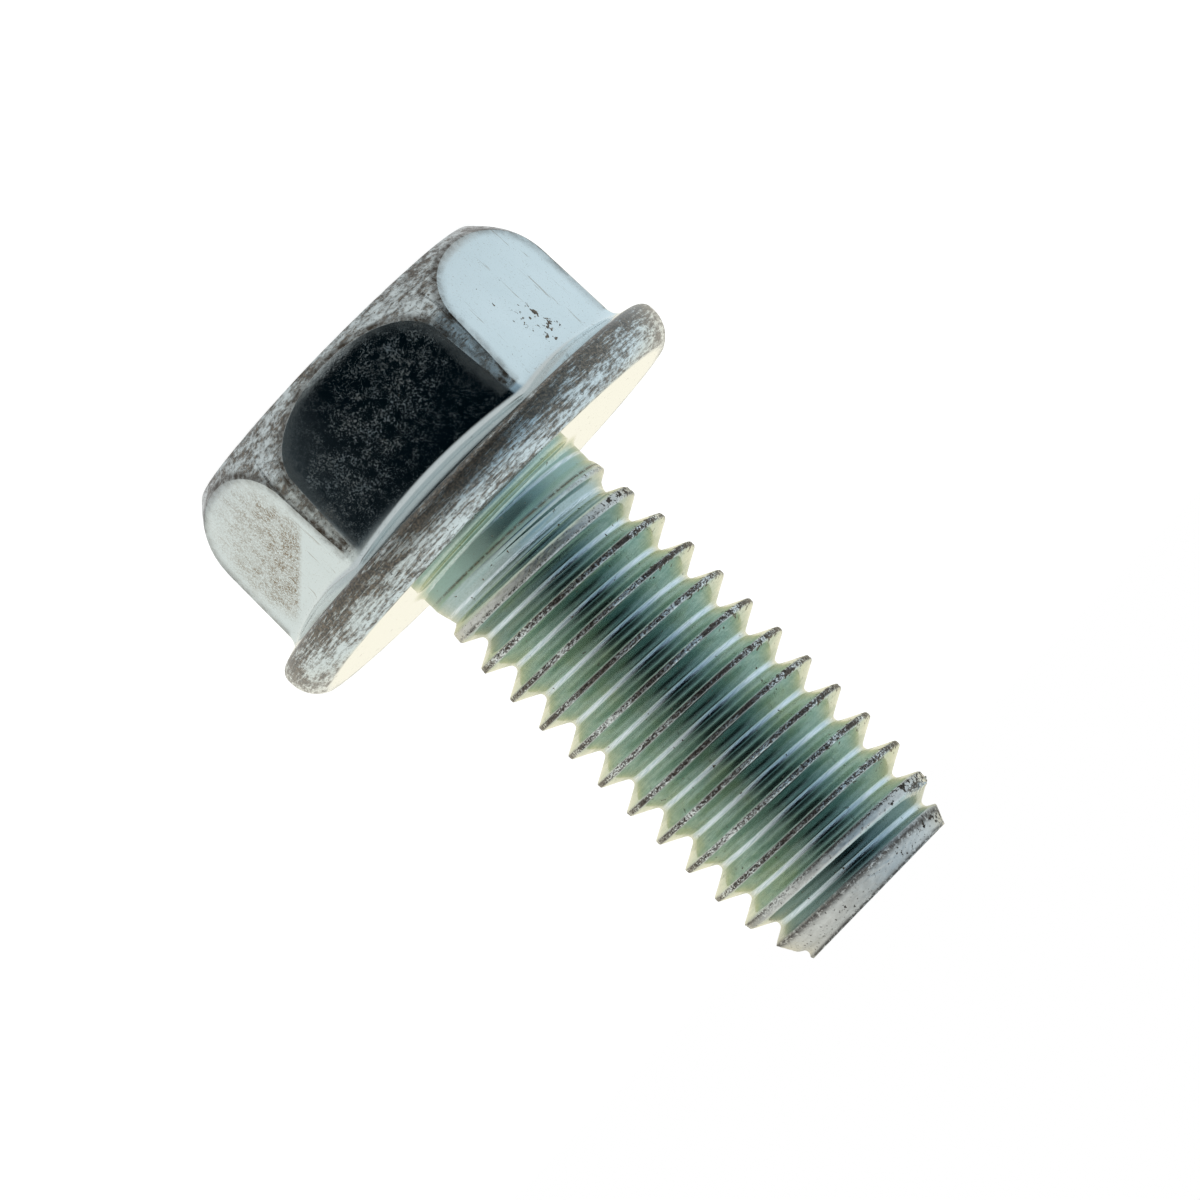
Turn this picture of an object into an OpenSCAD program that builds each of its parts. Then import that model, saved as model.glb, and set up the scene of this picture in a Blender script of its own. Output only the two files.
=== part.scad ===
// Hex flange screw: a forged hexagon head on a round flange, with a thread rolled up to the neck.
// It stands on its head. Z runs along the axis from the top of the head to the point.

/* [Head] */
// Width across the flats of the hexagon
across_flats = 9.85; // [9:0.05:11]
// Turn of the hexagon about the axis
hex_turn = 2.6; // [0:0.1:60]
// Height of the head from its flat top to the bearing face
head_h = 5.5; // [4:0.1:8]
// Diameter of the flat top of the head
top_d = 9.3; // [7:0.1:10]
// Diameter over the corners where the rounded crown ends
crown_d = 11.1; // [10.3:0.1:12]
// Height of the rounded crown
crown_h = 2; // [1:0.1:2.4]
// Diameter over the corners where they meet the flange
corner_d = 11.2; // [10.4:0.02:12.4]

/* [Flange] */
// Largest diameter of the flange
flange_d = 12.77; // [12.5:0.01:16]
// Diameter of the flat bearing face
seat_d = 11.87; // [9.6:0.01:12.2]
// Height of the rim's rounded lower side
rim_lower_h = 0.75; // [0.6:0.01:1]
// Height of the straight stretch of the rim
rim_land = 0.1; // [0.05:0.01:0.3]
// Radius of the rim's upper edge
rim_round = 0.3; // [0.15:0.01:0.45]
// Slope of the top of the flange
flange_slope = 17; // [8:0.5:25]

/* [Shank] */
// Length of the shank from the bearing face to the point
shank_l = 13.1; // [6:0.1:40]
// How far the plain neck under the head lies below the crests
neck_drop = 0.3; // [0.1:0.01:0.5]
// Length of the neck
neck_l = 0.9; // [0.6:0.1:3]
// Radius where the neck meets the bearing face, which begins outside the crests
neck_round = 0.32; // [0.1:0.01:0.5]

/* [Thread] */
// Largest diameter of the thread
thread_d = 5.88; // [5.85:0.01:7.2]
// Distance between neighbouring crests
pitch = 1; // [0.9:0.05:1.2]
// Angle between the two flanks
flank_angle = 60; // [55:1:62]
// Width of the flat on the crest
crest_flat = 0.13; // [0.1:0.01:0.2]
// Width of the flat at the bottom of the groove
root_flat = 0.12; // [0.1:0.01:0.25]
// Which way the thread winds
thread_hand = "left"; // [left, right]
// Distance of a crest from the bearing face on the +X side
crest_z = 0.4; // [0:0.05:1]
// Length over which the crests rise from the neck to full height
crest_rise = 1.7; // [0.5:0.1:4]
// Length over which the grooves sink from the neck to full depth
groove_run = 0.75; // [0.3:0.05:2]

/* [Point] */
// How far the edge of the flat end stands above the bottom of the groove
point_step = 0.01; // [0:0.01:0.2]
// How far the chamfer's upper edge lies below the crests
chamfer_drop = 0.2; // [0.05:0.01:0.4]
// Length of the chamfer
chamfer_l = 0.8; // [0.3:0.1:2]
// Length over which the first crests rise from the chamfer to full height
lead_l = 1.1; // [0.3:0.1:3]

/* [Hidden] */
$fn = 96;

// Steps of each rounded edge, and of each turn of the thread
arc_steps = 10;
turn_steps = 30;
// How far the ridge of the thread reaches into the core
overlap = 0.05;
// Turns over which the ridge sinks into the core at the point
fade_turns = 0.4;

top_r = top_d/2;
crown_r = crown_d/2;
rim_r = flange_d/2;
seat_r = seat_d/2;
thread_r = thread_d/2;
neck_r = thread_r - neck_drop;
// The depth of the groove follows from its width and the slope of its flanks
root_r = thread_r - (pitch - crest_flat - root_flat)/2/tan(flank_angle/2);
hand = thread_hand == "left" ? -1 : 1;

// Radius of an arc that ends upright after going over by run and along by rise
function arc_radius(run, rise) = (run*run + rise*rise)/(2*run);

// Points of an arc about a centre, between two angles
function arc(centre, r, from, to) =
    [for (k = [0:arc_steps])
        let (a = from + (to - from)*k/arc_steps)
        centre + r*[cos(a), sin(a)]];

// Outline of the crown and of the corners below it, measured from the flat top
crown_arc = arc_radius(crown_r - top_r, crown_h);
crown_outline = concat(
    [[0, 0]],
    arc([crown_r - crown_arc, crown_h], crown_arc, -asin(crown_h/crown_arc), 0),
    [[corner_d/2, head_h - rim_lower_h], [0, head_h - rim_lower_h]]);

// Outline of the flange, neck and core, measured from the bearing face towards the point
lower_arc = arc_radius(rim_r - seat_r, rim_lower_h);
rim_edge_z = -rim_lower_h - rim_land;
rim_edge = arc([rim_r - rim_round, rim_edge_z], rim_round, flange_slope - 90, 0);
hub_r = across_flats/2*cos(30);
hub_z = rim_edge[0][1] - (rim_edge[0][0] - hub_r)*tan(flange_slope);
fillet_r = neck_r + neck_round;
body_outline = concat(
    [[0, hub_z], [hub_r, hub_z]],
    rim_edge,
    arc([rim_r - lower_arc, -rim_lower_h], lower_arc, 0, asin(rim_lower_h/lower_arc)),
    arc([fillet_r, neck_round], neck_round, 270, 180),
    [[neck_r, neck_l], [root_r, neck_l + groove_run], [root_r, shank_l], [0, shank_l]]);

// Section of the ridge between two grooves, as radius and distance along the axis
foot_r = root_r - overlap;
function ridge_half(r) = crest_flat/2 + (thread_r - r)*tan(flank_angle/2);

// Radius of the crests, which rise out of the neck and fall away at the point
last_z = shank_l - ridge_half(foot_r);
crest_line = [
    [crest_z, neck_r - 2*overlap],
    [neck_l + crest_rise, thread_r],
    [shank_l - chamfer_l - lead_l, thread_r],
    [shank_l - chamfer_l, thread_r - chamfer_drop],
    [shank_l, root_r + point_step]];

// The ridge winds from inside the neck to the point, where it sinks into the core
ridge_steps = floor((last_z - crest_z)/pitch*turn_steps);
function sink(step) = min(1, (ridge_steps - step)/(turn_steps*fade_turns));
function crest_r(z, step) = foot_r + (lookup(z, crest_line) - foot_r)*sink(step);
function ridge_section(step) =
    let (z = crest_z + pitch*step/turn_steps,
         half = ridge_half(crest_r(z, step)),
         foot = ridge_half(foot_r))
    [[foot_r, z - foot],
     [crest_r(z - half, step), z - half],
     [crest_r(z + half, step), z + half],
     [foot_r, z + foot]];
function ridge_ring(step) =
    let (a = hand*360*step/turn_steps)
    [for (p = ridge_section(step)) [p[0]*cos(a), p[0]*sin(a), p[1]]];

module ridge() {
    n = len(ridge_section(0));
    points = [for (step = [0:ridge_steps]) each ridge_ring(step)];
    sides = [
        for (step = [0:ridge_steps - 1], k = [0:n - 1])
        let (a = step*n + k, b = step*n + (k + 1)%n)
        each [[a, b, b + n], [a, b + n, a + n]]];
    ends = [[for (k = [n - 1:-1:0]) k], [for (k = [0:n - 1]) ridge_steps*n + k]];
    faces = concat(sides, ends);
    polyhedron(points, hand > 0 ? faces : [for (f = faces) [for (k = [len(f) - 1:-1:0]) f[k]]]);
}

module head() {
    intersection() {
        rotate(hex_turn) cylinder(d = across_flats/cos(30), h = head_h, $fn = 6);
        rotate_extrude() polygon(crown_outline);
    }
}

module flange_screw() {
    color([0.72, 0.78, 0.79]) {
        head();
        translate([0, 0, head_h]) {
            rotate_extrude() polygon(body_outline);
            ridge();
        }
    }
}

flange_screw();
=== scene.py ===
import math
from types import SimpleNamespace

import bpy
import numpy as np
from mathutils import Matrix, Vector


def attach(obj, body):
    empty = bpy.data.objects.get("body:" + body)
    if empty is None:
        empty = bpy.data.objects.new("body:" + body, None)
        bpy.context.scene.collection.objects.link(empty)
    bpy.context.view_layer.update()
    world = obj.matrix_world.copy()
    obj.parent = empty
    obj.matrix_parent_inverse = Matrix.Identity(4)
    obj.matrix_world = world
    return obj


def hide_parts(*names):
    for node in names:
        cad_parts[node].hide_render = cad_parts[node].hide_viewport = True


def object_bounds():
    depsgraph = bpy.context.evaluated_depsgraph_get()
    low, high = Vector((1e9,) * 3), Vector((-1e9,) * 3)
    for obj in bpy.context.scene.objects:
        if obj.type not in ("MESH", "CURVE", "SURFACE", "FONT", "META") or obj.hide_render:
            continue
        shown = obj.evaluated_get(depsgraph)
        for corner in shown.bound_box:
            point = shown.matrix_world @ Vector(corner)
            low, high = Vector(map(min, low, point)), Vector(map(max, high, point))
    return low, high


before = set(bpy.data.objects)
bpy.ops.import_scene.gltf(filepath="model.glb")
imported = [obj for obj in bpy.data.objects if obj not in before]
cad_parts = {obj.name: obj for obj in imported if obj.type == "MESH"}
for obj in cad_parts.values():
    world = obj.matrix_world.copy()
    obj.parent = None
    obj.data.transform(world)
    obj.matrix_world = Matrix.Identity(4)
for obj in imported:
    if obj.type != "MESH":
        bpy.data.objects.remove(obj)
cad_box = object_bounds()

# Sizes are in millimetres. Z runs from the flat top of the head to the point.
MM = 0.001

# Head
ACROSS_FLATS = 9.85
HEX_TURN = math.radians(2.6)
HEAD_H = 5.5
TOP_R = 4.65
TOP_RINGS = (0.9, 1.8, 2.7, 3.5, 4.1, 4.4, 4.54, 4.6)
TOP_EDGE_DROP = 0.004
CROWN_R = 5.55
CROWN_H = 2.0
CROWN_BEND = 2.5
CORNER_R = 5.6
CORNER_TAPER_H = 2.1
HEX_FILLET = 0.34

# Dirt on the head: lines beside each corner, and the outline of the flats on crown and flats
CORNER_LINE = 0.15
CROWN_OUTLINE = (0.06, 0.17)
FLAT_OUTLINE = (0.02, 0.16)
FLAT_OUTLINE_SHARE = 0.55

# Flange
RIM_R = round(cad_box[1][0] / MM, 3)
SEAT_R = 5.935
RIM_LOWER_H = 0.75
RIM_LAND = 0.1
RIM_ROUND = 0.3
FLANGE_SLOPE = math.radians(17)

# Shank and thread, measured from the bearing face
SHANK_L = round(cad_box[1][2] / MM - HEAD_H, 3)
NECK_R = 2.64
NECK_END = 0.5
NECK_BLEND = 0.12
NECK_ROUND = 0.32
NECK_ROUND_H = 0.16
THREAD_R = 2.94
ROOT_R = 2.265
PITCH = 1.0
HALF_FLANK = math.radians(27)
CREST_HALF = 0.062
CREST_Z = 0.4
CREST_SOFTNESS = 0.02
ROOT_SOFTNESS = 0.08
CREST_WEAR = 0.03

# Crest and groove radii along the shank, as distance from the bearing face and radius
CREST_LINE = ((0.0, NECK_R), (NECK_END, NECK_R), (0.7, 2.67), (0.95, 2.73), (1.95, 2.83), (2.45, 2.91),
              (2.95, THREAD_R), (SHANK_L - 2.1, THREAD_R), (SHANK_L - 1.7, 2.88), (SHANK_L - 0.9, 2.74),
              (SHANK_L - 0.44, 2.49), (SHANK_L, 2.30))
GROOVE_LINE = ((0.0, NECK_R), (0.62, NECK_R), (1.08, 2.52), (1.4, 2.365), (1.75, ROOT_R), (SHANK_L, ROOT_R))

# Ragged lip below the last whole crest
BURR_TURN = math.radians(190)
BURR_WIDTH = math.radians(30)
BURR_R = 2.72
BURR_RAGGED = 0.12
BURR_START = SHANK_L - 1.3
BURR_END = SHANK_L - 1.0

# Slightly dished end face, as radius and depth
END_DISH = ((2.26, 0.0), (2.15, 0.01), (1.9, 0.03), (1.4, 0.06), (0.8, 0.08), (0.3, 0.09))

# Mesh density: columns round the axis, and rows over half a pitch from a crest towards the root
SECTOR_COLUMNS = 32
COLUMNS = 6 * SECTOR_COLUMNS
CORNER_CROWDING = 0.8
HALF_ROWS = (0.0, 0.03, 0.054, 0.072, 0.1, 0.16, 0.23, 0.29, 0.33, 0.365, 0.395, 0.425, 0.455, 0.48)
ROW_SNAP = 0.006

# Values painted on the points of the skin, which the material reads
PAINTED = ("crown", "edge", "corner", "rim", "seat", "thread",
           "crest", "side", "depth", "worn", "line", "neck")

# Colours of the plating, and of the painted highlight in the thread's roots
SILVER = (0.57, 0.65, 0.66, 1), (0.67, 0.74, 0.75, 1)
SEAT_CREAM = (0.88, 0.89, 0.74, 1)
TEAL = (0.37, 0.51, 0.465, 1), (0.60, 0.70, 0.655, 1)
OLIVE = (0.51, 0.60, 0.49, 1)
WORN_BLUE = (0.31, 0.40, 0.425, 1)
NECK_GREEN = (0.28, 0.41, 0.375, 1)
DARK_GRAIN = (0.25, 0.33, 0.30, 1)
CREST_SILVER = (0.70, 0.76, 0.765, 1)
# The roots' pale blue-silver is a painted highlight
ROOT_HIGHLIGHT = (0.46, 0.57, 0.61, 1), (0.66, 0.75, 0.80, 1)
SCRAPED_GREY = (0.34, 0.345, 0.335, 1), (0.74, 0.77, 0.76, 1)
WHITE = (1, 1, 1, 1)
THREAD_SHEEN = (1.0, 0.95, 0.82, 1)

# Colours of the dirt. The head's dirt colours also colour the painted dark reflection on the rim
HEAD_GRIME_AND_REFLECTION = (0.028, 0.021, 0.015, 1), (0.24, 0.18, 0.12, 1)
CREST_GRIME = (0.018, 0.015, 0.014, 1), (0.14, 0.115, 0.10, 1)
OUTLINE_BROWN = (0.045, 0.033, 0.021, 1)
SMEAR_BROWN = (0.23, 0.165, 0.09, 1)
NEAR_DUST = (0.10, 0.065, 0.027, 1), (0.045, 0.078, 0.105, 1)

# Places of single marks: the smear on the +X flat ends at a slanting line, the near flat has a slanting
# band of dust, the -X flat has a group of pits, and the near side of the rim has a painted dark reflection
SMEAR_SLANT = (-0.744, 0, 1)
SMEAR_CENTRE = (4.4, -2.2, 2.2)
DUST_SLANT = (-0.35, 0, 1)
DUST_MIDDLE = 1.9
PITS_CENTRE = (-4.16, -2.64, 3.1)
# The rim's long dark streak is a painted reflection of the dark side in front, not dirt
RIM_REFLECTION_SHAPE = (0.2, 1, 2.5)
RIM_REFLECTION_CENTRE = (0.0, -6.3, 4.72)
NEAR_FLAT_Y = (-4.2, -4.7)

# The studio is dimmer in front of the screw, by angle from its front, and has one dark patch there,
# with half sizes to the side and up. Front and patch are turned from -Y towards -X.
FRONT_TURN = math.radians(8)
ROOM_LEVELS = ((0, 0.38), (45, 0.48), (64, 0.70), (86, 0.92), (115, 1.0))
RAISED_FROM = math.radians(-2)
RAISED_TO = math.radians(42)
RAISED_SHARE = 0.5
PATCH_TURN = math.radians(10)
PATCH_TILT = math.radians(-9.5)
PATCH_SIDE = math.radians(29)
PATCH_UP = math.radians(12)
SIDE_BLUR = 0.45
UP_BLUR = 0.28
PATCH_BLACK = (0.001, 0.004, 0.006, 1)

# Tints of the studio's walls, from -X to +X, behind the screw and in front of it
SIDE_TINTS = (0.90, 1.0, 1.07, 1), (1.0, 0.99, 0.94, 1)
BACK_TINT = (1.0, 0.965, 0.85, 1)
FRONT_TINT = (0.70, 0.93, 1.12, 1)
FRONT_TINT_AXIS = (-0.45, -0.89, 0)

# The floor is white to polished surfaces up to the first distance, and part of the room from the second
FLOOR_SIZE = 3000.0
FLOOR_GAP = 0.01
NEAR_FLOOR = 7.0
FAR_FLOOR = 10.0
MIRROR_HEIGHT = 3.0
FLOOR_GLOW = 0.9
FLOOR_SHADE = (0.32, 0.32, 0.32, 1)
FLOOR_GREY = (0.8, 0.8, 0.8, 1)
NEAR_FLOOR_GREY = (0.75, 0.75, 0.75, 1)

# Camera: the photo's view, level with the shank, with the screw's axis running down to the right
CAMERA_TARGET = (-0.355, 0.0, 8.735)
CAMERA_EYE = (-0.355, -207.0, 18.6)
CAMERA_LEAN = math.radians(44.1)
FRAME_WIDTH = 29.41
SENSOR_WIDTH = 36.0
CLIP_START = 1.0


def smooth_min(a, b, k):
    return 0.5 * (a + b - np.sqrt((a - b) ** 2 + k * k))


def smooth_max(a, b, k):
    return 0.5 * (a + b + np.sqrt((a - b) ** 2 + k * k))


def ramp(value, low, high):
    """Smooth step from 0 at low to 1 at high."""
    t = np.clip((value - low) / (high - low), 0, 1)
    return t * t * (3 - 2 * t)


def bell(value, width):
    return np.exp(-(value / width) ** 2)


def arc_radius(run, rise):
    """Radius of an arc that ends upright after going over by run and along by rise."""
    return (run * run + rise * rise) / (2 * run)


class Skin:
    """Points, faces and painted values of the one closed surface."""

    def __init__(self):
        self.points = []
        self.faces = []
        self.sharp = set()
        self.values = {name: [] for name in PAINTED}

    def add_points(self, radius, angle, height, **values):
        start = len(self.points)
        radius = np.broadcast_to(radius, angle.shape)
        height = np.broadcast_to(height, angle.shape)
        xyz = np.stack([radius * np.cos(angle), radius * np.sin(angle), height], axis=-1)
        self.points.extend(map(tuple, xyz))
        for name, column in self.values.items():
            column.extend(np.broadcast_to(values.get(name, 0.0), angle.shape))
        return list(range(start, start + len(angle)))

    def add_face(self, corners):
        kept = [c for i, c in enumerate(corners) if c != corners[i - 1]]
        if len(set(kept)) == len(kept) > 2:
            self.faces.append(kept)

    def join(self, rings):
        for first, second in zip(rings, rings[1:]):
            for i in range(COLUMNS):
                k = (i + 1) % COLUMNS
                self.add_face((first[i], first[k], second[k], second[i]))

    def close(self, ring, height, upward, **values):
        """Fan of faces from a ring to a point on the axis."""
        centre = self.add_points(0.0, np.zeros(1), height, **values)[0]
        for i in range(COLUMNS):
            k = (i + 1) % COLUMNS
            self.add_face((centre, ring[i], ring[k]) if upward else (centre, ring[k], ring[i]))


def column_angles():
    """Angles of the columns: crowded at the hexagon's corners, and evenly spaced."""
    share = np.arange(SECTOR_COLUMNS) / SECTOR_COLUMNS
    share = share - CORNER_CROWDING * np.sin(2 * np.pi * share) / (2 * np.pi)
    crowded = np.concatenate([(share + k) * np.pi / 3 for k in range(6)])
    even = np.arange(COLUMNS) * 2 * np.pi / COLUMNS
    return crowded + HEX_TURN, even + HEX_TURN


def hexagon(angle):
    """Distance of the hexagon's flats from the axis."""
    turn = np.mod(angle - HEX_TURN, np.pi / 3) - np.pi / 6
    return ACROSS_FLATS / 2 / np.cos(turn)


def crown(height):
    """Radius of the turned outline that rounds off the hexagon's corners."""
    dome = CROWN_R - (CROWN_R - TOP_R) * np.clip(1 - height / CROWN_H, 0, 1) ** CROWN_BEND
    taper = (CORNER_R - CROWN_R) * np.clip((height - CROWN_H) / CORNER_TAPER_H, 0, 1)
    return dome + taper


def top_rings(skin, angle):
    """The flat top of the head, with a slightly lower edge."""
    first = skin.add_points(TOP_RINGS[0], angle, 0.0, crown=0.6)
    skin.close(first, 0.0, False, crown=0.6)
    rings = [first]
    for r in TOP_RINGS[1:]:
        rings.append(skin.add_points(r, angle, TOP_EDGE_DROP * ramp(r, 4.4, TOP_R), crown=0.8))
    return rings


def hexagon_rings(skin, angle, flats, flat_end):
    """Crown and flats. The rings follow the bend where the crown meets the flats, which is kept sharp."""
    heights = np.linspace(0, HEAD_H, 500)
    bend = np.minimum(np.interp(flats, crown(heights), heights), flat_end - 0.1)
    off_corner = np.abs(np.mod(angle - HEX_TURN + np.pi / 6, np.pi / 3) - np.pi / 6) * CORNER_R
    corner = 1 - ramp(np.abs(off_corner - CORNER_LINE), 0.01, 0.06)

    def add_ring(height, on_crown):
        gap = crown(height) - flats
        if on_crown:
            outline = 1 - ramp(np.abs(gap), *CROWN_OUTLINE)
        else:
            outline = (1 - ramp(gap, *FLAT_OUTLINE)) * FLAT_OUTLINE_SHARE
        return skin.add_points(np.minimum(flats, crown(height)), angle, height, edge=outline,
                               crown=np.where(gap < 0, 1.0, float(on_crown)),
                               corner=corner * ramp(height, 1.0, 2.0))

    rings = [add_ring(bend * t, True) for t in np.linspace(0, 1, 26)[1:] ** 1.2]
    skin.sharp = {i for i, wide in zip(rings[-1], flats) if wide < CORNER_R}
    for t in (0.004, *np.linspace(0, 1, 16)[1:]):
        rings.append(add_ring(bend + (flat_end - bend) * t, False))
    return rings


def head_rings(skin, angle):
    """Top face, crown, flats, and the fillet and cone down to the rim."""
    flats = hexagon(angle)
    rim_edge_r = RIM_R - RIM_ROUND + RIM_ROUND * math.sin(FLANGE_SLOPE)
    rim_edge_z = HEAD_H - RIM_LOWER_H - RIM_LAND - RIM_ROUND * math.cos(FLANGE_SLOPE)
    foot_r = np.minimum(flats, CORNER_R)
    foot_z = rim_edge_z - (rim_edge_r - foot_r) * math.tan(FLANGE_SLOPE)
    flat_end = foot_z - HEX_FILLET

    rings = top_rings(skin, angle) + hexagon_rings(skin, angle, flats, flat_end)
    start_r = np.minimum(flats, crown(flat_end))
    for t in np.linspace(0, 1, 9)[1:]:
        over = HEX_FILLET * t * t
        radius = start_r + over * math.cos(FLANGE_SLOPE)
        height = foot_z - HEX_FILLET * (1 - t) ** 2 + over * math.sin(FLANGE_SLOPE)
        rings.append(skin.add_points(radius, angle, height))
    for t in np.linspace(0, 1, 5)[1:]:
        rings.append(skin.add_points(radius + (rim_edge_r - radius) * t, angle,
                                     height + (rim_edge_z - height) * t, rim=0.3 * t))
    return rings


def rim_rings(skin, angle, even):
    """Rounded rim, bearing face and the fillet at the neck."""
    rings = []
    for a in np.linspace(FLANGE_SLOPE - np.pi / 2, 0, 11)[1:]:
        rings.append(skin.add_points(RIM_R - RIM_ROUND + RIM_ROUND * math.cos(a), angle,
                                     HEAD_H - RIM_LOWER_H - RIM_LAND + RIM_ROUND * math.sin(a), rim=1.0))
    lower_r = arc_radius(RIM_R - SEAT_R, RIM_LOWER_H)
    for a in np.linspace(0, math.asin(RIM_LOWER_H / lower_r), 16):
        rings.append(skin.add_points(RIM_R - lower_r + lower_r * math.cos(a), angle,
                                     HEAD_H - RIM_LOWER_H + lower_r * math.sin(a), rim=1.0))
    inner = NECK_R + NECK_ROUND
    for t in np.linspace(0, 1, 12)[1:]:
        turn = angle + (even - angle) * ramp(t, 0, 1)
        edge = 1 - ramp(t, 0, 0.06)
        rings.append(skin.add_points(SEAT_R + (inner - SEAT_R) * t, turn, HEAD_H, rim=edge, seat=1 - edge))
    for a in np.linspace(0, np.pi / 2, 9)[1:]:
        on_neck = ramp(a, 0.1, 0.9)
        rings.append(skin.add_points(inner - NECK_ROUND * math.sin(a), even,
                                     HEAD_H + NECK_ROUND_H * (1 - math.cos(a)),
                                     seat=1 - on_neck, thread=on_neck))
    return rings


def ripple(angle, along):
    """Small unevenness from -1 to 1 that repeats on every turn."""
    first = np.sin(41 * angle + 9 * along) * np.sin(23 * angle - 14 * along + 1)
    return 0.5 * (first + np.sin(71 * angle + 31 * along + 2) * np.sin(53 * angle - 6 * along))


def burr_at(angle, along):
    """1 on the ragged lip below the last whole crest."""
    off = np.abs(np.angle(np.exp(1j * (angle - BURR_TURN)))) / BURR_WIDTH
    starts = ramp(along, BURR_START, BURR_START + 0.1)
    ends = ramp(along + 0.15 * off, BURR_END, BURR_END + 0.1)
    return (1 - ramp(off, 0.8, 1.1)) * starts * (1 - ends)


def thread_surface(angle, along):
    """Radius of the threaded shank, how much of each point is crest, and its place between two roots."""
    crest_at = CREST_Z - PITCH * angle / (2 * np.pi)
    side = np.mod((along - crest_at) / PITCH + 0.5, 1) - 0.5
    flank = THREAD_R + (CREST_HALF - np.abs(side) * PITCH) / math.tan(HALF_FLANK)
    envelope = np.interp(along, *zip(*CREST_LINE))
    groove = np.interp(along, *zip(*GROOVE_LINE))
    body = smooth_max(flank, groove, ROOT_SOFTNESS * np.clip((NECK_R - groove) / 0.3, 0.05, 1))
    radius = smooth_min(body, envelope, CREST_SOFTNESS)
    radius = NECK_R + (radius - NECK_R) * ramp(along, NECK_END, NECK_END + NECK_BLEND)
    crest = ramp(body - envelope, -0.05, 0.03) * ramp(along, 0.8, 1.1)
    uneven = ripple(angle, along)
    radius = radius - CREST_WEAR * crest * np.abs(uneven)
    lip = np.maximum(radius, BURR_R + BURR_RAGGED * uneven)
    return radius + (lip - radius) * burr_at(angle, along), crest, side


def dark_lines(z, side):
    """Lines of dirt: on the last turn, round the end and on the first rise of the crest."""
    last_turn = bell(side + 0.15, 0.1) * ramp(z, SHANK_L - 1.1, SHANK_L - 0.95)
    end_edge = bell(z - SHANK_L + 0.03, 0.05)
    first_rise = bell(side, 0.035) * ramp(z, 0.4, 0.55) * (1 - ramp(z, 0.85, 1.0))
    return np.maximum(np.maximum(last_turn, end_edge), first_rise)


def thread_paint(angle, z, crest, side):
    """Painted values of the threaded shank. The first and last crests are worn."""
    burr = burr_at(angle, z)
    worn = np.maximum(1 - ramp(z, 1.9, 2.5), ramp(z, SHANK_L - 1.9, SHANK_L - 1.3)) * (1 - burr)
    return {
        "thread": np.ones_like(z),
        "crest": np.maximum(np.maximum(crest, burr), ramp(z, SHANK_L - 0.5, SHANK_L - 0.35)),
        "side": np.where(z < SHANK_L / 2, side, -side),
        "depth": 2 * np.abs(side),
        "worn": worn,
        "line": dark_lines(z, side),
        "neck": 1 - ramp(z, 0.58, 0.68)}


def shank_mesh(skin, first_ring, even):
    """Rows that follow the helix from the neck to the point, then the flat end."""
    half = np.array(HALF_ROWS)
    phases = np.concatenate([half, [0.5], 1 - half[:0:-1]])
    turns = range(-2, int(SHANK_L) + 3)
    along = np.concatenate([(k + phases) * PITCH for k in turns]) + CREST_Z
    z = along[None, :] - PITCH * even[:, None] / (2 * np.pi)
    below = z < NECK_ROUND_H + ROW_SNAP
    inside = ~below & (z <= SHANK_L - ROW_SNAP)
    angle = np.broadcast_to(even[:, None], z.shape)[inside]
    radius, crest, side = thread_surface(angle, z[inside])

    end_r, _, _ = thread_surface(even, np.full_like(even, SHANK_L))
    rings = [skin.add_points(end_r, even, HEAD_H + SHANK_L, thread=1.0, crest=1.0)]
    index = np.where(below, np.array(first_ring)[:, None], np.array(rings[0])[:, None])
    index[inside] = skin.add_points(radius, angle, HEAD_H + z[inside],
                                    **thread_paint(angle, z[inside], crest, side))
    for i in range(COLUMNS):
        k, step = (i + 1, 0) if i + 1 < COLUMNS else (0, len(phases))
        for j in range(step, len(along) - 1):
            skin.add_face((index[i, j], index[k, j - step], index[k, j + 1 - step], index[i, j + 1]))

    for r, dish in END_DISH:
        rings.append(skin.add_points(r, even, HEAD_H + SHANK_L - dish, thread=1.0, crest=0.5))
    skin.join(rings)
    skin.close(rings[-1], HEAD_H + SHANK_L - END_DISH[-1][1], True, thread=1.0, crest=0.5)


def build_screw():
    skin = Skin()
    crowded, even = column_angles()
    rings = head_rings(skin, crowded) + rim_rings(skin, crowded, even)
    skin.join(rings)
    shank_mesh(skin, rings[-1], even)

    mesh = bpy.data.meshes.new("flange_screw_skin")
    mesh.from_pydata(np.array(skin.points) * MM, [], skin.faces)
    mesh.validate()
    mesh.polygons.foreach_set("use_smooth", [True] * len(mesh.polygons))
    sharp = mesh.attributes.new("sharp_edge", "BOOLEAN", "EDGE")
    sharp.data.foreach_set("value", [set(edge.vertices) <= skin.sharp for edge in mesh.edges])
    for name, column in skin.values.items():
        layer = mesh.attributes.new(name, "FLOAT", "POINT")
        layer.data.foreach_set("value", np.array(column, dtype=np.float32))
    screw = bpy.data.objects.new("flange_screw_skin", mesh)
    bpy.context.collection.objects.link(screw)
    return screw


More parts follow.
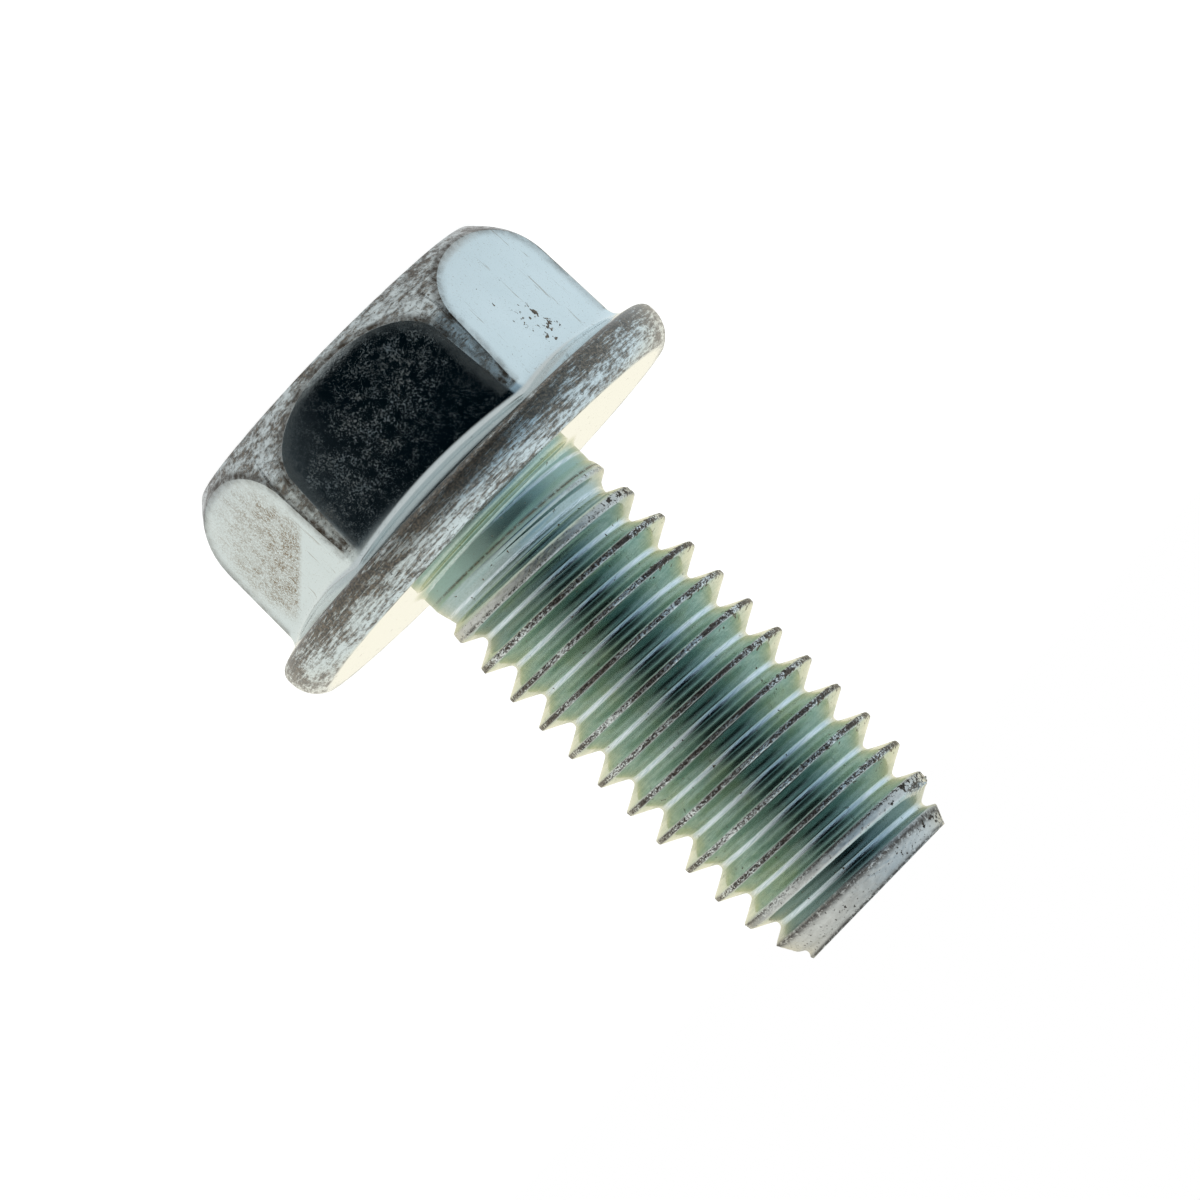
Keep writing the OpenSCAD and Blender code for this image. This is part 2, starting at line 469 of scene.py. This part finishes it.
class Nodes:
    """Short calls for making and joining shader nodes in one tree."""

    def __init__(self, tree):
        self.tree = tree
        tree.nodes.clear()

    def add(self, kind, out=0, settings=None, **inputs):
        """A node's output. An input is named as in Blender, or by its number as _0, _1 and so on."""
        node = self.tree.nodes.new(kind)
        for name, value in (settings or {}).items():
            setattr(node, name, value)
        for name, value in inputs.items():
            socket = node.inputs[int(name[1:]) if name[1:].isdigit() else name.replace("_", " ")]
            if isinstance(value, bpy.types.NodeSocket):
                self.tree.links.new(value, socket)
            else:
                socket.default_value = value
        return node.outputs[out]

    def finish(self, kind, surface):
        output = self.tree.nodes.new(kind)
        self.tree.links.new(surface, output.inputs["Surface"])

    def painted(self, name):
        return self.add("ShaderNodeAttribute", "Fac", {"attribute_name": name})

    def maths(self, operation, first, *others):
        for other in others or (0.0,):
            first = self.add("ShaderNodeMath", 0, {"operation": operation}, _0=first, _1=other)
        return first

    def times(self, *values):
        return self.maths("MULTIPLY", *values)

    def plus(self, *values):
        return self.maths("ADD", *values)

    def minus(self, *values):
        return self.maths("SUBTRACT", *values)

    def most(self, *values):
        return self.maths("MAXIMUM", *values)

    def sum(self, *terms):
        """Sum of values, each given with its share."""
        return self.plus(*(self.times(value, share) for value, share in terms))

    def vector(self, operation, out, first, second=(0, 0, 0)):
        return self.add("ShaderNodeVectorMath", out, {"operation": operation}, _0=first, _1=second)

    def dot(self, vector, axis):
        return self.vector("DOT_PRODUCT", 1, vector, axis)

    def scaled(self, vector, x, y, z):
        return self.add("ShaderNodeMapping", 0, None, Vector=vector, Scale=(x, y, z))

    def noise(self, vector, scale, detail=4.0, rough=0.6, warp=0.0):
        return self.add("ShaderNodeTexNoise", 0, None, Vector=vector, Scale=scale, Detail=detail,
                        Roughness=rough, Distortion=warp)

    def window(self, value, low, high):
        """Smooth step from 0 at low to 1 at high."""
        return self.add("ShaderNodeMapRange", 0, {"interpolation_type": "SMOOTHSTEP"},
                        Value=value, From_Min=low, From_Max=high)

    def near(self, vector, centre, full, none):
        """1 within full of a centre, falling to 0 at none."""
        return self.window(self.vector("DISTANCE", 1, vector, centre), none, full)

    def mix(self, amount, a, b):
        return self.add("ShaderNodeMix", 2, {"data_type": "RGBA"}, _0=amount, _6=a, _7=b)


def surface_values(n):
    """Places in millimetres, the painted values and the parts of the surface that follow from them."""
    s = SimpleNamespace(**{name: n.painted(name) for name in PAINTED})
    s.place = n.scaled(n.add("ShaderNodeTexCoord", "Object"), 1 / MM, 1 / MM, 1 / MM)
    s.around = n.scaled(s.place, 1, 1, 1.8)
    s.rolled = n.scaled(s.place, 0.7, 0.7, 12)
    s.x, s.y, s.z = (n.add("ShaderNodeSeparateXYZ", axis, None, Vector=s.place) for axis in "XYZ")
    s.root = n.window(s.depth, 0.84, 0.97)
    s.inner = n.minus(n.window(s.depth, 0.5, 0.6), s.root)
    s.scraped = n.times(s.crest, s.worn)
    s.plain = n.minus(1.0, n.most(s.thread, s.seat))
    s.front = n.window(s.y, *NEAR_FLAT_Y)
    s.near_flat = n.times(s.front, n.minus(1.0, n.most(s.rim, s.crown)))
    return s


def add_patterns(n, s):
    """Noises that several kinds of dirt share."""
    s.fine = n.noise(s.place, scale=15.0, detail=4.0, rough=0.8)
    s.streaks = n.noise(s.around, scale=6.5, detail=7.0, rough=0.72, warp=0.1)
    s.broad = n.noise(s.around, scale=0.8)
    s.long = n.noise(n.scaled(s.place, 1, 1, 4), scale=2.0, detail=6.0, rough=0.65)
    s.specks = n.window(n.noise(s.place, scale=11.0, detail=3.0, rough=0.7), 0.60, 0.68)
    s.dots = n.noise(s.place, scale=19.0, detail=5.0, rough=0.8)
    s.clumps = n.window(n.noise(s.place, scale=3.0, detail=5.0, rough=0.7), 0.40, 0.62)


def thread_colour(n, s):
    """Green-blue passivation, lighter on the crests, with a painted highlight in the roots, scraped on the
    worn crests.
    """
    colour = n.mix(n.window(n.noise(s.rolled, scale=1.4, detail=5.0, rough=0.7), 0.3, 0.7), *TEAL)
    colour = n.mix(n.window(n.noise(s.place, scale=0.7, detail=3.0), 0.5, 0.75), colour, OLIVE)
    colour = n.mix(n.times(s.worn, 0.6), colour, WORN_BLUE)
    colour = n.mix(s.neck, colour, NECK_GREEN)
    colour = n.mix(n.times(n.window(s.fine, 0.46, 0.72), 0.6), colour, DARK_GRAIN)
    colour = n.mix(s.crest, colour, CREST_SILVER)
    # Painted highlight: the roots are coloured lighter
    root_highlight = n.mix(n.window(n.noise(s.rolled, scale=3.0), 0.35, 0.65), *ROOT_HIGHLIGHT)
    colour = n.mix(s.root, colour, root_highlight)
    bare = n.mix(n.noise(s.around, scale=5.0, detail=6.0, rough=0.7), *SCRAPED_GREY)
    return n.mix(s.scraped, colour, bare)


def plating_colour(n, s):
    silver = n.mix(n.noise(s.place, scale=0.6), *SILVER)
    colour = n.mix(s.thread, silver, thread_colour(n, s))
    return n.mix(n.times(s.seat, 0.9), colour, SEAT_CREAM)


def crown_dirt(n, s):
    mottled = n.sum((s.streaks, 0.6), (s.long, 0.6), (s.broad, 0.35))
    return n.times(n.most(n.window(mottled, 0.65, 0.89), s.specks), s.crown, 0.9)


def rim_dirt_and_reflection(n, s):
    """Streaks of dirt drawn out round the rim, denser on its upper half, and one long dark streak on the
    near side that is a painted reflection.
    """
    drawn = n.noise(n.scaled(s.place, 0.6, 0.6, 5), scale=3.0, detail=6.0, rough=0.7)
    upper_half = n.window(s.z, 5.2, 4.6)
    drawn = n.sum((s.streaks, 0.4), (drawn, 0.75), (s.broad, 0.4), (upper_half, 0.1))
    centre = [a * b for a, b in zip(RIM_REFLECTION_CENTRE, RIM_REFLECTION_SHAPE)]
    # Painted dark reflection on the near side of the rim, given the dirt's colour
    painted_reflection = n.near(n.scaled(s.place, *RIM_REFLECTION_SHAPE), centre, 0.15, 0.65)
    painted_reflection = n.times(painted_reflection, n.window(s.long, 0.36, 0.52))
    return n.times(n.most(n.window(drawn, 0.68, 0.88), s.specks, painted_reflection), s.rim, 0.9)


def crest_dirt(n, s):
    """Patchy dirt on the crests, kept to one edge of the worn ones, and the dark lines."""
    tip = n.window(s.z, HEAD_H + SHANK_L - 1.1, HEAD_H + SHANK_L - 0.9)
    clean = n.times(s.worn, n.most(tip, n.window(s.side, 0.10, 0.0)))
    patchy = n.times(n.minus(n.noise(s.place, scale=0.9, detail=2.0), 0.5), 0.45)
    patchy = n.minus(patchy, n.times(s.worn, 0.08))
    patchy = n.plus(n.noise(s.around, scale=13.0, detail=5.0, rough=0.8), patchy)
    dirt = n.times(n.window(patchy, 0.39, 0.50), s.crest, n.minus(1.0, clean))
    broken = n.window(n.noise(s.place, scale=9.0, detail=5.0, rough=0.75), 0.36, 0.5)
    return n.most(dirt, n.times(broken, s.line, 0.9), n.times(s.specks, s.scraped))


def outline_dirt(n, s):
    """Brown lines round the flats and beside the corners."""
    strength = n.plus(n.times(s.clumps, 0.5), 0.5)
    return n.times(strength, n.most(s.edge, n.times(s.corner, 0.7)))


def flat_film(n, s):
    """The smear on the +X flat, and sparse dots and scratches on every flat but the near one."""
    slant = n.dot(s.place, SMEAR_SLANT)
    smear = n.times(n.window(slant, 0.12, -0.12), n.window(slant, -4.2, -0.3))
    smear = n.times(smear, n.near(s.place, SMEAR_CENTRE, 1.5, 2.6))
    dense = n.times(n.window(s.dots, 0.44, 0.54), n.plus(n.times(s.clumps, 0.6), 0.45))
    sparse = n.times(n.window(s.dots, 0.60, 0.66), 0.7)
    scratches = n.noise(n.scaled(s.place, 7, 7, 0.5), scale=1.0, detail=3.0)
    scratches = n.times(n.window(scratches, 0.66, 0.69), 0.4)
    return n.times(n.most(n.times(smear, dense), sparse, scratches), n.minus(1.0, s.front), s.plain)


def near_flat_dust(n, s):
    off_band = n.maths("ABSOLUTE", n.minus(n.dot(s.place, DUST_SLANT), DUST_MIDDLE))
    amount = n.plus(n.times(n.window(off_band, 1.5, 0.3), 0.55), 0.12)
    return n.times(s.near_flat, amount, n.window(s.dots, 0.50, 0.60), s.clumps)


def pits_and_flecks(n, s):
    """Pits, most on the -X flat, and dark flecks on the shank, most by the crests on that side."""
    group = n.times(n.near(s.place, PITS_CENTRE, 0.4, 1.0), 0.17)
    pits = n.window(n.plus(n.noise(s.place, scale=5.0, detail=3.0), group), 0.735, 0.755)
    ragged = n.times(n.window(s.x, -0.8, -2.4), n.window(s.depth, 0.42, 0.1),
                     n.window(s.z, HEAD_H + 1.3, HEAD_H + 1.8))
    flecks = n.plus(n.noise(s.place, scale=6.5, detail=3.0), n.times(ragged, 0.16))
    return n.most(pits, n.times(n.window(flecks, 0.685, 0.715), n.most(s.thread, s.seat)))


def grime_and_reflection_colour(n, s, outline):
    head = n.mix(n.window(s.fine, 0.38, 0.70), *HEAD_GRIME_AND_REFLECTION)
    grime_and_reflection = n.mix(s.crest, head, n.mix(n.window(s.fine, 0.4, 0.7), *CREST_GRIME))
    return n.mix(outline, grime_and_reflection, OUTLINE_BROWN)


def roughness(n, s, dirt_and_reflection, grain):
    blurred = n.times(dirt_and_reflection, n.minus(0.3, n.times(s.near_flat, 0.25)))
    polish = n.sum((grain, 0.05), (s.thread, 0.06), (s.scraped, 0.25), (n.most(s.neck, s.inner), 0.12))
    return n.plus(blurred, polish, 0.03)


def relief(n, s, dirt_and_reflection, grain):
    """Fine bumps: dirt and the painted reflection on the rim lie lower, the head is forged uneven and the
    roots are scored by rolling.
    """
    sunk = n.times(dirt_and_reflection, n.minus(n.times(s.near_flat, 0.6), 0.6))
    forged = n.times(n.noise(s.place, scale=4.5, detail=6.0, rough=0.7), s.plain, 0.5)
    scored = n.times(n.noise(n.scaled(s.place, 2, 2, 16), scale=2.2, detail=4.0, rough=0.7), s.root, 2.0)
    height = n.plus(n.times(grain, 0.05), sunk, forged, scored)
    return n.add("ShaderNodeBump", 0, None, Strength=0.25, Distance=0.02 * MM, Height=height)


def zinc_material():
    """Zinc plating with its dirt, smears, pits and worn crests, a painted dark reflection on the rim and a
    painted highlight in the roots.
    """
    material = bpy.data.materials.new("zinc_plating")
    material.use_nodes = True
    n = Nodes(material.node_tree)
    s = surface_values(n)
    add_patterns(n, s)

    outline = outline_dirt(n, s)
    film = flat_film(n, s)
    dust = near_flat_dust(n, s)
    # This mask holds the dirt and also the painted dark reflection on the rim
    grime_and_reflection = n.most(crown_dirt(n, s), rim_dirt_and_reflection(n, s), crest_dirt(n, s), outline, pits_and_flecks(n, s))
    dirt_and_reflection = n.most(grime_and_reflection, film)

    dust_colour = n.mix(n.window(s.broad, 0.42, 0.58), *NEAR_DUST)
    colour = n.mix(film, plating_colour(n, s), SMEAR_BROWN)
    colour = n.mix(dust, colour, dust_colour)
    colour = n.mix(grime_and_reflection, colour, grime_and_reflection_colour(n, s, outline))
    metal = n.minus(1.0, n.most(n.times(dirt_and_reflection, 0.35), n.times(dust, 0.9)))
    grain = n.noise(s.place, scale=24.0, detail=3.0)
    shader = n.add("ShaderNodeBsdfPrincipled", 0, None, Base_Color=colour, Metallic=metal,
                   Roughness=roughness(n, s, dirt_and_reflection, grain), Normal=relief(n, s, dirt_and_reflection, grain),
                   Specular_Tint=n.mix(s.thread, WHITE, THREAD_SHEEN))
    n.finish("ShaderNodeOutputMaterial", shader)
    return material


def wall_level(n, direction):
    """Grey of the studio's walls: dim in front of the screw, lighter behind and above."""
    ramp_node = n.tree.nodes.new("ShaderNodeValToRGB")
    ramp_node.color_ramp.interpolation = "EASE"
    stops = ramp_node.color_ramp.elements
    while len(stops) < len(ROOM_LEVELS):
        stops.new(0.5)
    for stop, (angle, level) in zip(stops, sorted(ROOM_LEVELS, reverse=True)):
        stop.position = 0.5 + 0.5 * math.cos(math.radians(angle))
        stop.color = (level, level, level, 1)
    front = n.dot(direction, (-math.sin(FRONT_TURN), -math.cos(FRONT_TURN), 0))
    n.tree.links.new(n.plus(n.times(front, 0.5), 0.5), ramp_node.inputs[0])
    raised = n.window(n.dot(direction, (0, 0, 1)), math.sin(RAISED_FROM), math.sin(RAISED_TO))
    return n.mix(n.times(raised, RAISED_SHARE), ramp_node.outputs[0], WHITE)


def wall_tint(n, direction):
    tint = n.mix(n.window(n.dot(direction, (1, 0, 0)), -1, 1), *SIDE_TINTS)
    tint = n.mix(n.window(n.dot(direction, (0, 1, 0)), 0.5, 1), tint, BACK_TINT)
    return n.mix(n.window(n.dot(direction, FRONT_TINT_AXIS), 0.62, 0.96), tint, FRONT_TINT)


def outside_patch(n, direction):
    """0 in the dark patch in front of the screw, 1 elsewhere."""
    middle = Vector((-math.sin(PATCH_TURN), -math.cos(PATCH_TURN), math.tan(PATCH_TILT))).normalized()
    beside = Vector((0, 0, 1)).cross(middle).normalized()
    ahead = n.dot(direction, middle)

    def past(axis, half_size, blur):
        angle = n.maths("ARCTAN2", n.dot(direction, axis), ahead)
        return n.window(n.maths("ABSOLUTE", n.times(angle, 1 / half_size)), 1 - blur, 1 + blur)

    return n.most(past(beside, PATCH_SIDE, SIDE_BLUR), past(middle.cross(beside), PATCH_UP, UP_BLUR))


def room(n, direction):
    """Colour of the studio in a direction."""
    walls = n.add("ShaderNodeMix", 2, {"data_type": "RGBA", "blend_type": "MULTIPLY"}, _0=1.0,
                  _6=wall_level(n, direction), _7=wall_tint(n, direction))
    return n.mix(outside_patch(n, direction), PATCH_BLACK, walls)


def floor_material():
    """White that keeps a soft shadow; polished surfaces see it as part of the studio."""
    material = bpy.data.materials.new("studio_floor")
    material.use_nodes = True
    n = Nodes(material.node_tree)
    ray = n.tree.nodes.new("ShaderNodeLightPath").outputs
    glow = n.add("ShaderNodeEmission", 0, None, Color=WHITE, Strength=FLOOR_GLOW)
    shade = n.add("ShaderNodeBsdfDiffuse", 0, None, Color=FLOOR_SHADE)
    white = n.add("ShaderNodeAddShader", 0, None, _0=glow, _1=shade)
    position = n.add("ShaderNodeNewGeometry", "Position")
    away = n.vector("NORMALIZE", 0, n.vector("SUBTRACT", 0, position, (0, 0, MIRROR_HEIGHT * MM)))
    far = n.window(n.vector("LENGTH", 1, position), NEAR_FLOOR * MM, FAR_FLOOR * MM)
    mirrored = n.add("ShaderNodeEmission", 0, None, Color=n.mix(far, NEAR_FLOOR_GREY, room(n, away)))
    grey = n.add("ShaderNodeBsdfDiffuse", 0, None, Color=FLOOR_GREY)
    glossy = n.most(ray["Is Glossy Ray"], ray["Is Transmission Ray"])
    surface = n.add("ShaderNodeMixShader", 0, None, _0=glossy, _1=grey, _2=mirrored)
    surface = n.add("ShaderNodeMixShader", 0, None, _0=ray["Is Camera Ray"], _1=surface, _2=white)
    n.finish("ShaderNodeOutputMaterial", surface)
    return material


def studio_world():
    world = bpy.data.worlds.new("studio")
    world.use_nodes = True
    bpy.context.scene.world = world
    n = Nodes(world.node_tree)
    ray = n.tree.nodes.new("ShaderNodeLightPath").outputs
    seen = n.mix(ray["Is Camera Ray"], room(n, n.add("ShaderNodeTexCoord", "Generated")), WHITE)
    n.finish("ShaderNodeOutputWorld", n.add("ShaderNodeBackground", 0, None, Color=seen))


def place_camera():
    target = Vector(CAMERA_TARGET) * MM
    eye = Vector(CAMERA_EYE) * MM
    view = (target - eye).normalized()
    right = Vector((-math.sin(CAMERA_LEAN), 0, math.cos(CAMERA_LEAN)))
    right = (right - view * right.dot(view)).normalized()
    turn = Matrix((right, right.cross(view), -view)).transposed().to_4x4()
    lens = bpy.data.cameras.new("camera")
    lens.sensor_width = SENSOR_WIDTH
    lens.lens = SENSOR_WIDTH * (target - eye).length / (FRAME_WIDTH * MM)
    lens.clip_start = CLIP_START * MM
    camera = bpy.data.objects.new("camera", lens)
    camera.matrix_world = Matrix.Translation(eye) @ turn
    bpy.context.collection.objects.link(camera)
    bpy.context.scene.camera = camera


def lay_floor():
    size = FLOOR_SIZE * MM
    corners = [(-size, -size, 0), (size, -size, 0), (size, size, 0), (-size, size, 0)]
    mesh = bpy.data.meshes.new("floor")
    mesh.from_pydata(corners, [], [(0, 1, 2, 3)])
    floor = bpy.data.objects.new("floor", mesh)
    floor.location.z = cad_box[0][2] - FLOOR_GAP * MM
    floor.data.materials.append(floor_material())
    bpy.context.collection.objects.link(floor)


bpy.context.scene.view_settings.view_transform = "Standard"
screw = build_screw()
screw.data.materials.append(zinc_material())
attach(screw, "root")
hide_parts("flange_screw")
lay_floor()
studio_world()
place_camera()
